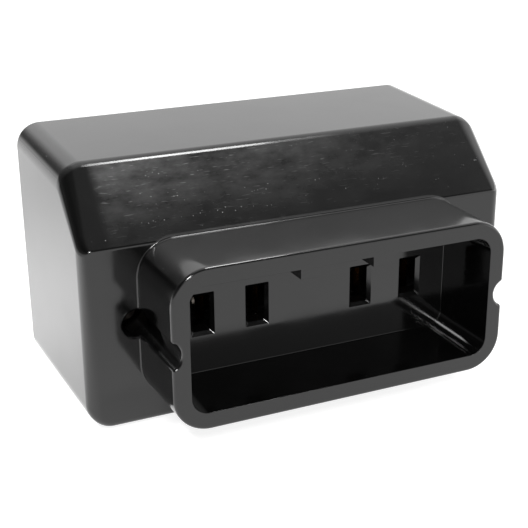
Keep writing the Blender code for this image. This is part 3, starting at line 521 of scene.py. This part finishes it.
# The inside: cavity, screw posts and the webs that stiffen them
PEDESTAL_HEIGHT = 22.0 * MM
FIT_GAP = 0.3 * MM
WELL_POST_WALL = 1.9 * MM
WELL_POST_RADIUS = WELL_RADIUS + WELL_POST_WALL
WELL_WEB = 2.4 * MM
WELL_WEB_DEPTH = 20.0 * MM
WELL_DEPTH = 12.0 * MM
SCREW_HOLE_RADIUS = 2.05 * MM
FRONT_INSIDE_Y = -(COVER_DEPTH - COVER_WALL)
WELL_SEAT_Y = -COVER_DEPTH + WELL_DEPTH
carve(cover, "DIFFERENCE", housing_solid("cavity", COVER_WALL, CUT_OVERRUN))
for side in (-1, 1):
    post = rod("post", WELL_POST_RADIUS, side * WELL_X, 0.0,
               FRONT_INSIDE_Y - EMBED, -PEDESTAL_HEIGHT - FIT_GAP)
    carve(post, "DIFFERENCE", rod("well", CHANNEL_RADIUS, side * WELL_X, 0.0, -COVER_DEPTH, WELL_SEAT_Y))
    carve(post, "DIFFERENCE", rod("bore", SCREW_HOLE_RADIUS, side * WELL_X, 0.0, WELL_SEAT_Y - EMBED,
                                  CUT_OVERRUN - PEDESTAL_HEIGHT))
    carve(cover, "UNION", post)
    web_x = sorted((side * (WELL_X + WELL_RADIUS + WELL_WEB / 2),
                    side * (FRONT_HALF_WIDTH - COVER_WALL / 2)))
    web = block("web", (web_x[0], FRONT_INSIDE_Y - EMBED, -WELL_WEB / 2),
                (web_x[1], FRONT_INSIDE_Y + WELL_WEB_DEPTH, WELL_WEB / 2))
    carve(cover, "UNION", web)

# The guide ribs under the shroud's upper wall, which key the plug
GUIDE_RIB_INNER_X = 6.6 * MM
GUIDE_RIB_WIDTH = 5.5 * MM
GUIDE_RIB_DROP = 2.5 * MM
GUIDE_RIB_SETBACK = 0.25 * MM
GUIDE_RIB_EDGE = 0.08 * MM
for side in (-1, 1):
    rib_x = sorted((side * GUIDE_RIB_INNER_X, side * (GUIDE_RIB_INNER_X + GUIDE_RIB_WIDTH)))
    rib = block("rib", (rib_x[0], RIM_Y + GUIDE_RIB_SETBACK, hollow_half_height - GUIDE_RIB_DROP),
                (rib_x[1], FLOOR_Y + EMBED, hollow_half_height + EMBED), GUIDE_RIB_EDGE)
    carve(cover, "UNION", rib)

# The openings: contact windows with bevelled mouths, and the cable entry
WINDOW_WIDTH = 6.2 * MM
WINDOW_HEIGHT = 10.9 * MM
WINDOW_BEVEL = 0.85 * MM
WINDOW_CORNER = 0.3 * MM
ENTRY_RADIUS = 8.0 * MM
ENTRY_DEPTH = 14.0 * MM
ENTRY_STEPS = 24
openings = []
for place_in_row in (-2, -1, 1, 2):
    rings = [(0.0, FLOOR_Y - CUT_OVERRUN), (0.0, FLOOR_Y), (WINDOW_BEVEL, FLOOR_Y + WINDOW_BEVEL),
             (WINDOW_BEVEL, FRONT_INSIDE_Y + CUT_OVERRUN)]
    openings.append(bridged("window", [rounded_ring(WINDOW_WIDTH / 2 - shrink, WINDOW_HEIGHT / 2 - shrink,
                                                    WINDOW_CORNER, y, place_in_row * POLE_PITCH)
                                       for shrink, y in rings]))
carve(cover, "DIFFERENCE", *openings)
outline = [(ENTRY_RADIUS, CUT_OVERRUN)]
for step in range(ENTRY_STEPS + 1):
    turn = pi * step / ENTRY_STEPS
    outline.append((ENTRY_RADIUS * cos(turn), ENTRY_RADIUS - ENTRY_DEPTH - ENTRY_RADIUS * sin(turn)))
outline.append((-ENTRY_RADIUS, CUT_OVERRUN))
notch = bridged("notch", [[(x, y, z) for x, y in outline]
                          for z in (-WALL_BOTTOM - CUT_OVERRUN, -WALL_BOTTOM + COVER_WALL + CUT_OVERRUN)])
carve(cover, "DIFFERENCE", notch)

# Smooth shading for the rounded stretches, with the flat faces kept flat
SHARP_ANGLE = radians(30)
only(cover)
bpy.ops.object.shade_smooth_by_angle(angle=SHARP_ANGLE)
flattening = cover.modifiers.new("flat_faces", "WEIGHTED_NORMAL")
flattening.keep_sharp = True
bpy.ops.object.modifier_apply(modifier=flattening.name)

# The moulding's skin is a deep gloss black that mirrors its surroundings, with faint polishing
# waves from the mould. A thin grey dust lies on the faces that look up, and part of it is painted
# light that brightens these tops; none lies in the shroud's hollow, which is painted shade there.
# On the slope there are wiped smudges, thickest at its upper left, fine scratches, and rows of
# small light specks.
# The six values that come first are settings of the nodes that join and limit numbers.
SMOOTH = {"interpolation_type": "SMOOTHSTEP"}
TIMES = {"operation": "MULTIPLY"}
PLUS = {"operation": "ADD"}
MINUS = {"operation": "SUBTRACT"}
LARGER = {"operation": "MAXIMUM"}
NEAR = {"operation": "COMPARE"}
gloss_finish, tree, shader, place = new_finish("glossy_black_phenolic",
                                               roughness=0.1, metallic=0.0, ior=1.6)
facing = add_node(tree, "ShaderNodeNewGeometry", {}, {}).outputs["Normal"]
upward = add_node(tree, "ShaderNodeSeparateXYZ", {}, {0: facing}).outputs["Z"]
position = add_node(tree, "ShaderNodeSeparateXYZ", {}, {0: place}).outputs

# Dust on the level faces, partly painted light that brightens them, and none down in the shroud's hollow,
# where its absence is painted shade
DUST_CLOUD = 30.0 * MM
DUST_AND_LIGHT_SHARES = (0.06, 0.11)
LEVEL_SHARES = (0.55, 0.95)
HOLLOW_SHADE_FADE = 3 * MM
facing_up = add_node(tree, "ShaderNodeMapRange", SMOOTH, {
    "Value": upward, "From Min": LEVEL_SHARES[0], "From Max": LEVEL_SHARES[1]}).outputs[0]
dust_and_light = add_node(tree, "ShaderNodeTexNoise", {}, {"Vector": place, "Scale": 1 / DUST_CLOUD, "Detail": 3.0})
dust_and_light = add_node(tree, "ShaderNodeMapRange", {}, {
    "Value": dust_and_light.outputs["Fac"], "To Min": DUST_AND_LIGHT_SHARES[0], "To Max": DUST_AND_LIGHT_SHARES[1]}).outputs[0]
dust_and_light = add_node(tree, "ShaderNodeMath", TIMES, {0: dust_and_light, 1: facing_up}).outputs[0]
# Painted shade: below the shroud's middle the dust is left off, so the hollow's floor stays black
clear_of_hollow_shade = add_node(tree, "ShaderNodeMapRange", {}, {
    "Value": position["Z"], "From Min": 0.0, "From Max": HOLLOW_SHADE_FADE}).outputs[0]
dust_and_light = add_node(tree, "ShaderNodeMath", TIMES, {0: dust_and_light, 1: clear_of_hollow_shade}).outputs[0]

# Wiped smudges and scratches, which fade towards the slope's foot, its right end and its fillets
WIPE_SIZE = 7.0 * MM
WIPE_STRETCH = (0.6, 1.0, 1.4)
WIPE_SHARE = 0.38
SCRATCH_WIDTH = 0.35 * MM
SCRATCH_STRETCH = (0.12, 1.0, 1.0)
SCRATCH_TURN = (0.0, 0.06, 0.0)
SCRATCH_SHARE = 0.5
SLOPE_SHARES = (0.61, 0.65)
RIGHT_END_SHARE = 0.1
FOOT_SHARE = 0.15
SMUDGE_END = FRONT_HALF_WIDTH - CORNER_RADIUS
SMUDGE_FADE = 3.5 * MM
along = add_node(tree, "ShaderNodeMapping", {}, {"Vector": place, "Scale": WIPE_STRETCH})
wipes = add_node(tree, "ShaderNodeTexNoise", {}, {
    "Vector": along.outputs[0], "Scale": 1 / WIPE_SIZE, "Detail": 8.0, "Roughness": 0.65})
wipes = add_node(tree, "ShaderNodeMapRange", {}, {
    "Value": wipes.outputs["Fac"], "From Min": 0.3, "From Max": 0.75, "To Min": 0.0,
    "To Max": WIPE_SHARE}).outputs[0]
drawn_out = add_node(tree, "ShaderNodeMapping", {}, {
    "Vector": place, "Rotation": SCRATCH_TURN, "Scale": SCRATCH_STRETCH})
scratches = add_node(tree, "ShaderNodeTexNoise", {}, {
    "Vector": drawn_out.outputs[0], "Scale": 1 / SCRATCH_WIDTH, "Detail": 1.0})
scratches = add_node(tree, "ShaderNodeMapRange", {}, {
    "Value": scratches.outputs["Fac"], "From Min": 0.66, "From Max": 0.78, "To Min": 0.0,
    "To Max": SCRATCH_SHARE}).outputs[0]
marks = add_node(tree, "ShaderNodeMath", PLUS, {0: wipes, 1: scratches}).outputs[0]
leftward = add_node(tree, "ShaderNodeMapRange", SMOOTH, {
    "Value": position["X"], "From Min": FRONT_HALF_WIDTH, "From Max": -WALL_HALF_WIDTH,
    "To Min": RIGHT_END_SHARE}).outputs[0]
flat_part = add_node(tree, "ShaderNodeMapRange", SMOOTH, {
    "Value": position["X"], "From Min": -SMUDGE_END, "From Max": SMUDGE_FADE - SMUDGE_END}).outputs[0]
raised = add_node(tree, "ShaderNodeMapRange", SMOOTH, {
    "Value": position["Z"], "From Min": CREASE_HEIGHT, "From Max": BROW_HEIGHT,
    "To Min": FOOT_SHARE}).outputs[0]
for fading in (raised, leftward, flat_part):
    marks = add_node(tree, "ShaderNodeMath", TIMES, {0: marks, 1: fading}).outputs[0]

# Specks: a few in loose clusters, and more in two rows, as (height, middle, reach)
SPECK_SPACING = 0.9 * MM
SPECK_SIZE_SHARE = 0.17
SPECK_CLUSTER_SHARE = 0.25
SPECK_ROWS = ((23.4 * MM, -26.0 * MM, 15.0 * MM), (27.7 * MM, -28.0 * MM, 9.0 * MM))
SPECK_ROW_HALF_HEIGHT = 0.55 * MM
grains = add_node(tree, "ShaderNodeTexVoronoi", {}, {"Vector": place, "Scale": 1 / SPECK_SPACING})
grains = add_node(tree, "ShaderNodeMapRange", SMOOTH, {
    "Value": grains.outputs["Distance"], "From Min": SPECK_SIZE_SHARE, "From Max": SPECK_SIZE_SHARE / 2,
    "To Min": 0.0, "To Max": 1.0}).outputs[0]
sparse = add_node(tree, "ShaderNodeTexNoise", {}, {
    "Vector": along.outputs[0], "Scale": SPECK_CLUSTER_SHARE / SPECK_SPACING, "Detail": 2.0})
sparse = add_node(tree, "ShaderNodeMapRange", {}, {
    "Value": sparse.outputs["Fac"], "From Min": 0.6, "From Max": 0.72}).outputs[0]
for row_z, row_x, row_reach in SPECK_ROWS:
    in_height = add_node(tree, "ShaderNodeMath", NEAR, {
        0: position["Z"], 1: row_z, 2: SPECK_ROW_HALF_HEIGHT}).outputs[0]
    in_length = add_node(tree, "ShaderNodeMath", NEAR, {
        0: position["X"], 1: row_x, 2: row_reach}).outputs[0]
    in_row = add_node(tree, "ShaderNodeMath", TIMES, {0: in_height, 1: in_length}).outputs[0]
    sparse = add_node(tree, "ShaderNodeMath", LARGER, {0: sparse, 1: in_row}).outputs[0]
grains = add_node(tree, "ShaderNodeMath", TIMES, {0: grains, 1: sparse}).outputs[0]

# All marks lie on the slope alone, and with the dust and its painted light they grey the black
marks = add_node(tree, "ShaderNodeMath", PLUS, {0: marks, 1: grains}).outputs[0]
steep = add_node(tree, "ShaderNodeMapRange", SMOOTH, {
    "Value": upward, "From Min": SLOPE_SHARES[0], "From Max": SLOPE_SHARES[1]}).outputs[0]
on_slope = add_node(tree, "ShaderNodeMath", MINUS, {0: steep, 1: facing_up}).outputs[0]
marks = add_node(tree, "ShaderNodeMath", TIMES, {0: marks, 1: on_slope}).outputs[0]
film_and_light = add_node(tree, "ShaderNodeMath", PLUS, {0: dust_and_light, 1: marks}).outputs[0]
tone = add_node(tree, "ShaderNodeMix", {"data_type": "RGBA"}, {
    "Factor": film_and_light, FIRST_COLOUR: linear("#080808"), SECOND_COLOUR: linear("#a4a4a4")})
tree.links.new(tone.outputs[MIXED_COLOUR], shader.inputs["Base Color"])

# Gloss, a little uneven from handling, and the mould's polishing waves
SMUDGE_SIZE = 11.0 * MM
WAVE_SIZE = 14.0 * MM
WAVE_HEIGHT = 0.1 * MM
smudges = add_node(tree, "ShaderNodeTexNoise", {}, {
    "Vector": place, "Scale": 1 / SMUDGE_SIZE, "Detail": 6.0})
dullness = add_node(tree, "ShaderNodeMapRange", {}, {
    "Value": smudges.outputs["Fac"], "From Min": 0.35, "From Max": 0.7, "To Min": 0.09, "To Max": 0.16})
tree.links.new(dullness.outputs[0], shader.inputs["Roughness"])
waves = add_node(tree, "ShaderNodeTexNoise", {}, {"Vector": place, "Scale": 1 / WAVE_SIZE, "Detail": 1.0})
skin = add_node(tree, "ShaderNodeBump", {}, {
    "Height": waves.outputs["Fac"], "Strength": 0.15, "Distance": WAVE_HEIGHT})
tree.links.new(skin.outputs[0], shader.inputs["Normal"])
cover.data.materials.clear()
cover.data.materials.append(gloss_finish)
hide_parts("cover")
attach(cover, "root")

# Floor, light and camera
# A sheet of white paper that gives off its own white, to the camera evenly and to mirrored rays
# more strongly towards the back. The camera stands where the photograph's stood.
FLOOR_GAP = 0.2 * MM
FLOOR_SIZE = 6.0
PAPER_LIGHT = 0.85
SWEEP_REACH = 0.25
SWEEP_LIGHTS = (0.6, 1.1)
floor_z = cad_box[0].z - FLOOR_GAP
bpy.ops.mesh.primitive_plane_add(size=FLOOR_SIZE, location=(0, 0, floor_z))
floor = bpy.context.active_object
floor.name = "floor"
paper, tree, shader, place = new_finish("white_paper", roughness=0.9, metallic=0.0, ior=1.5)
shader.inputs["Base Color"].default_value = linear("#b0b0b0")
rays = add_node(tree, "ShaderNodeLightPath", {}, {}).outputs
shown = add_node(tree, "ShaderNodeMath", TIMES, {0: rays["Is Camera Ray"], 1: PAPER_LIGHT}).outputs[0]
mirrored = add_node(tree, "ShaderNodeMath", LARGER, {
    0: rays["Is Glossy Ray"], 1: rays["Is Transmission Ray"]}).outputs[0]
position = add_node(tree, "ShaderNodeSeparateXYZ", {}, {0: place}).outputs
sweep = add_node(tree, "ShaderNodeMapRange", {}, {
    "Value": position["Y"], "From Min": -SWEEP_REACH, "From Max": SWEEP_REACH,
    "To Min": SWEEP_LIGHTS[0], "To Max": SWEEP_LIGHTS[1]}).outputs[0]
mirrored = add_node(tree, "ShaderNodeMath", TIMES, {0: mirrored, 1: sweep}).outputs[0]
own_light = add_node(tree, "ShaderNodeMath", LARGER, {0: shown, 1: mirrored}).outputs[0]
shader.inputs["Emission Color"].default_value = (1.0, 1.0, 1.0, 1.0)
tree.links.new(own_light, shader.inputs["Emission Strength"])
floor.data.materials.append(paper)

# The studio round it: a ceiling that is dark in front and white at the back, a wall at the right,
# a white horizon that is brightest at its right end, and a dark flag on the left, above the
# horizon's lowest strip. The camera itself sees white all round.
CEILING_LIGHTS = (0.08, 1.0)
RIGHT_WALL_LIGHT = 0.9
HORIZON_LIGHT = 1.15
RIGHT_END_LIGHT = 2.4
FLAG_LIGHT = 0.15
world = bpy.data.worlds.new("studio")
bpy.context.scene.world = world
world.use_nodes = True
tree = world.node_tree
sky = tree.nodes["Background"]
around = add_node(tree, "ShaderNodeTexCoord", {}, {}).outputs["Generated"]
toward = add_node(tree, "ShaderNodeSeparateXYZ", {}, {0: around}).outputs
ceiling = add_node(tree, "ShaderNodeMapRange", {}, {
    "Value": toward["Y"], "From Min": -0.5, "From Max": 0.7,
    "To Min": CEILING_LIGHTS[0], "To Max": CEILING_LIGHTS[1]}).outputs[0]
right_wall = add_node(tree, "ShaderNodeMapRange", SMOOTH, {
    "Value": toward["X"], "From Min": 0.5, "From Max": 0.85, "To Min": 0.0,
    "To Max": RIGHT_WALL_LIGHT}).outputs[0]
ceiling = add_node(tree, "ShaderNodeMath", PLUS, {0: ceiling, 1: right_wall}).outputs[0]
right_end = add_node(tree, "ShaderNodeMapRange", SMOOTH, {
    "Value": toward["X"], "From Min": 0.55, "From Max": 0.8,
    "To Min": HORIZON_LIGHT, "To Max": RIGHT_END_LIGHT}).outputs[0]
horizon = add_node(tree, "ShaderNodeMapRange", SMOOTH, {
    "Value": toward["Z"], "From Min": 0.05, "From Max": 0.25,
    "To Min": right_end, "To Max": HORIZON_LIGHT}).outputs[0]
light = add_node(tree, "ShaderNodeMapRange", SMOOTH, {
    "Value": toward["Z"], "From Min": 0.33, "From Max": 0.5,
    "To Min": horizon, "To Max": ceiling}).outputs[0]
flag = add_node(tree, "ShaderNodeMapRange", SMOOTH, {
    "Value": toward["Z"], "From Min": 0.03, "From Max": 0.17,
    "To Min": 1.0, "To Max": FLAG_LIGHT}).outputs[0]
flag = add_node(tree, "ShaderNodeMapRange", SMOOTH, {
    "Value": toward["X"], "From Min": -0.35, "From Max": -0.1,
    "To Min": flag, "To Max": 1.0}).outputs[0]
light = add_node(tree, "ShaderNodeMath", TIMES, {0: light, 1: flag}).outputs[0]
seen = add_node(tree, "ShaderNodeLightPath", {}, {}).outputs["Is Camera Ray"]
light = add_node(tree, "ShaderNodeMath", LARGER, {0: light, 1: seen}).outputs[0]
tree.links.new(light, sky.inputs["Strength"])
sky.inputs["Color"].default_value = (1.0, 1.0, 1.0, 1.0)


def hang(name, lamp, place, aim):
    """Put a lamp at a place and turn it towards a point."""
    made = bpy.data.objects.new(name, lamp)
    bpy.context.scene.collection.objects.link(made)
    made.location = place
    made.rotation_euler = (Vector(aim) - Vector(place)).to_track_quat("-Z", "Y").to_euler()
    return made


def softbox(name, place, aim, size, power):
    """A soft rectangular lamp that looks at a point."""
    lamp = bpy.data.lights.new(name, "AREA")
    lamp.shape = "RECTANGLE"
    lamp.size, lamp.size_y = size
    lamp.energy = power
    hang(name, lamp, place, aim)


# A softbox overhead lights the slope, and a small one in front draws the streak in the corner of
# the shroud's hollow. A spot lights the paper at the left, which the left face mirrors. The spot
# itself isn't mirrored.
softbox("overhead_softbox", place=(0.32, -0.12, 1.0), aim=(0.32, -0.12, 0.0), size=(0.2, 0.32), power=3.4)
softbox("front_lamp", place=(-0.41, -1.17, 0.88), aim=(0.03, -0.06, 0.0), size=(0.24, 0.24), power=12.0)
beam = bpy.data.lights.new("left_spot", "SPOT")
beam.energy = 36.0
beam.shadow_soft_size = 0.05
beam.spot_size = radians(29)
beam.spot_blend = 1.0
left_spot = hang("left_spot", beam, place=(-0.37, 0.0, 0.45), aim=(-0.165, 0.01, floor_z))
left_spot.visible_glossy = False

CAMERA_PLACE = (-118.66 * MM, -284.92 * MM, 105.90 * MM)
CAMERA_TURN = (69.432, 0.427, -24.780)
CAMERA_LENS = 77.68
SENSOR_WIDTH = 36.0
lens = bpy.data.cameras.new("photo_camera")
lens.lens = CAMERA_LENS
lens.sensor_width = SENSOR_WIDTH
lens.clip_start = 0.01
camera = bpy.data.objects.new("photo_camera", lens)
bpy.context.scene.collection.objects.link(camera)
camera.location = CAMERA_PLACE
camera.rotation_euler = [radians(angle) for angle in CAMERA_TURN]
bpy.context.scene.camera = camera
bpy.context.scene.view_settings.view_transform = "Standard"
